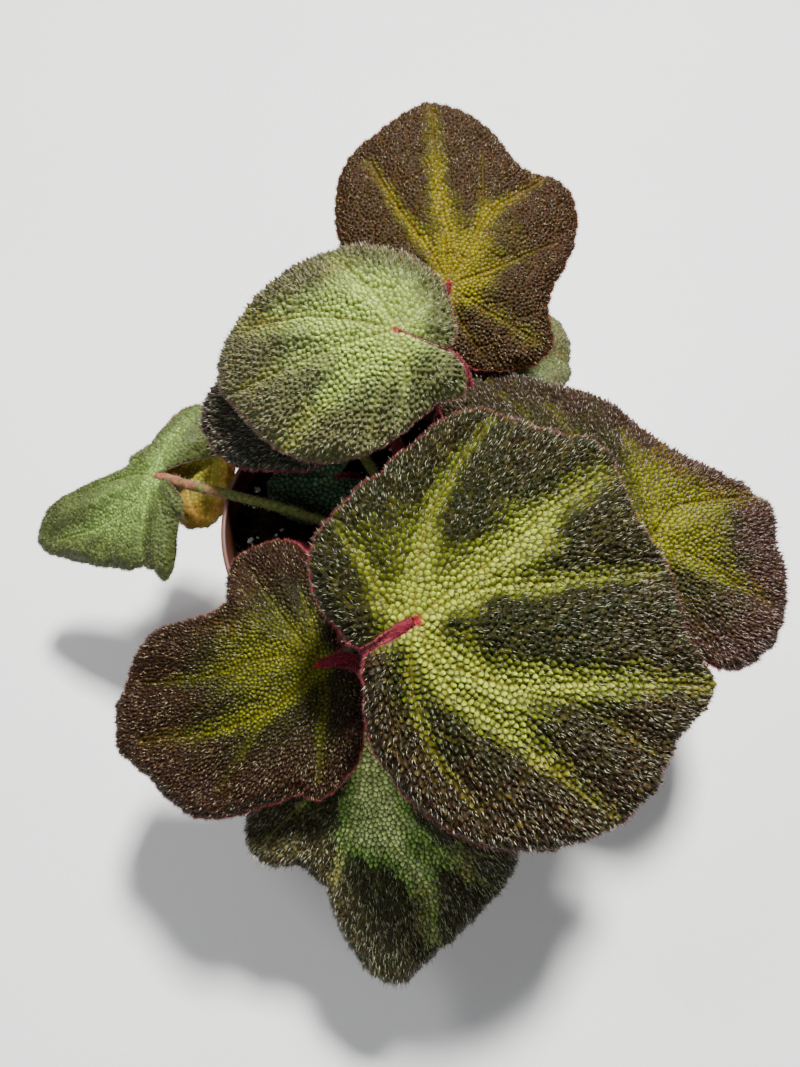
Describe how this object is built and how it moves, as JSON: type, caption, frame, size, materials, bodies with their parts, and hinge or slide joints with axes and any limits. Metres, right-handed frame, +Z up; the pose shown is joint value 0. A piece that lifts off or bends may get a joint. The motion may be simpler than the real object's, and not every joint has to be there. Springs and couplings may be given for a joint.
{
  "type": "potted begonia",
  "caption": "Rhizomatous begonia with puckered, hairy, lopsided leaves on red hairy stalks, growing from a creeping rootstock in a small round plastic nursery pot.",
  "frame": {"origin": "The middle of the pot's base, on the flat pad under its floor, on the pot's axis and on the surface that it stands on.", "axes": "+Z up along the pot's axis. -Y is the side where the large front leaf hangs over the rim, +X is the right-hand side seen from there."},
  "size_m": [0.2612, 0.2674, 0.1531],
  "materials": {
    "pot_plastic": "terracotta-brown moulded plastic, satin",
    "soil_mix": "damp peat and bark crumbs, very dark, dull",
    "root_bark": "brown-red scaly rootstock, dull",
    "blade_green": "puckered hairy leaf, lime veins on dark green and bronze, satin",
    "stalk_red": "fleshy stalk covered in crimson hairs",
    "perlite_grain": "white expanded grains, dull"
  },
  "bodies": {
    "root": {"pot": "pot_plastic", "soil": "soil_mix", "rootstock": "root_bark", "leaf_centre": "blade_green", "leaf_front_left": "blade_green", "leaf_front": "blade_green", "leaf_back": "blade_green", "leaf_top": "blade_green", "leaf_right": "blade_green", "leaf_left": "blade_green", "leaf_far": "blade_green", "leaf_lower": "blade_green", "leaf_small": "blade_green", "leaf_old": "blade_green", "stalk_centre": "stalk_red", "stalk_front_left": "stalk_red", "stalk_front": "stalk_red", "stalk_back": "stalk_red", "stalk_top": "stalk_red", "stalk_right": "stalk_red", "stalk_left": "stalk_red", "stalk_far": "stalk_red", "stalk_lower": "stalk_red", "stalk_small": "stalk_red", "stalk_old": "stalk_red", "stalk_bud": "stalk_red", "bud": "stalk_red", "perlite_1": "perlite_grain", "perlite_2": "perlite_grain", "perlite_3": "perlite_grain", "perlite_4": "perlite_grain", "perlite_5": "perlite_grain"}
  },
  "joints": []
}
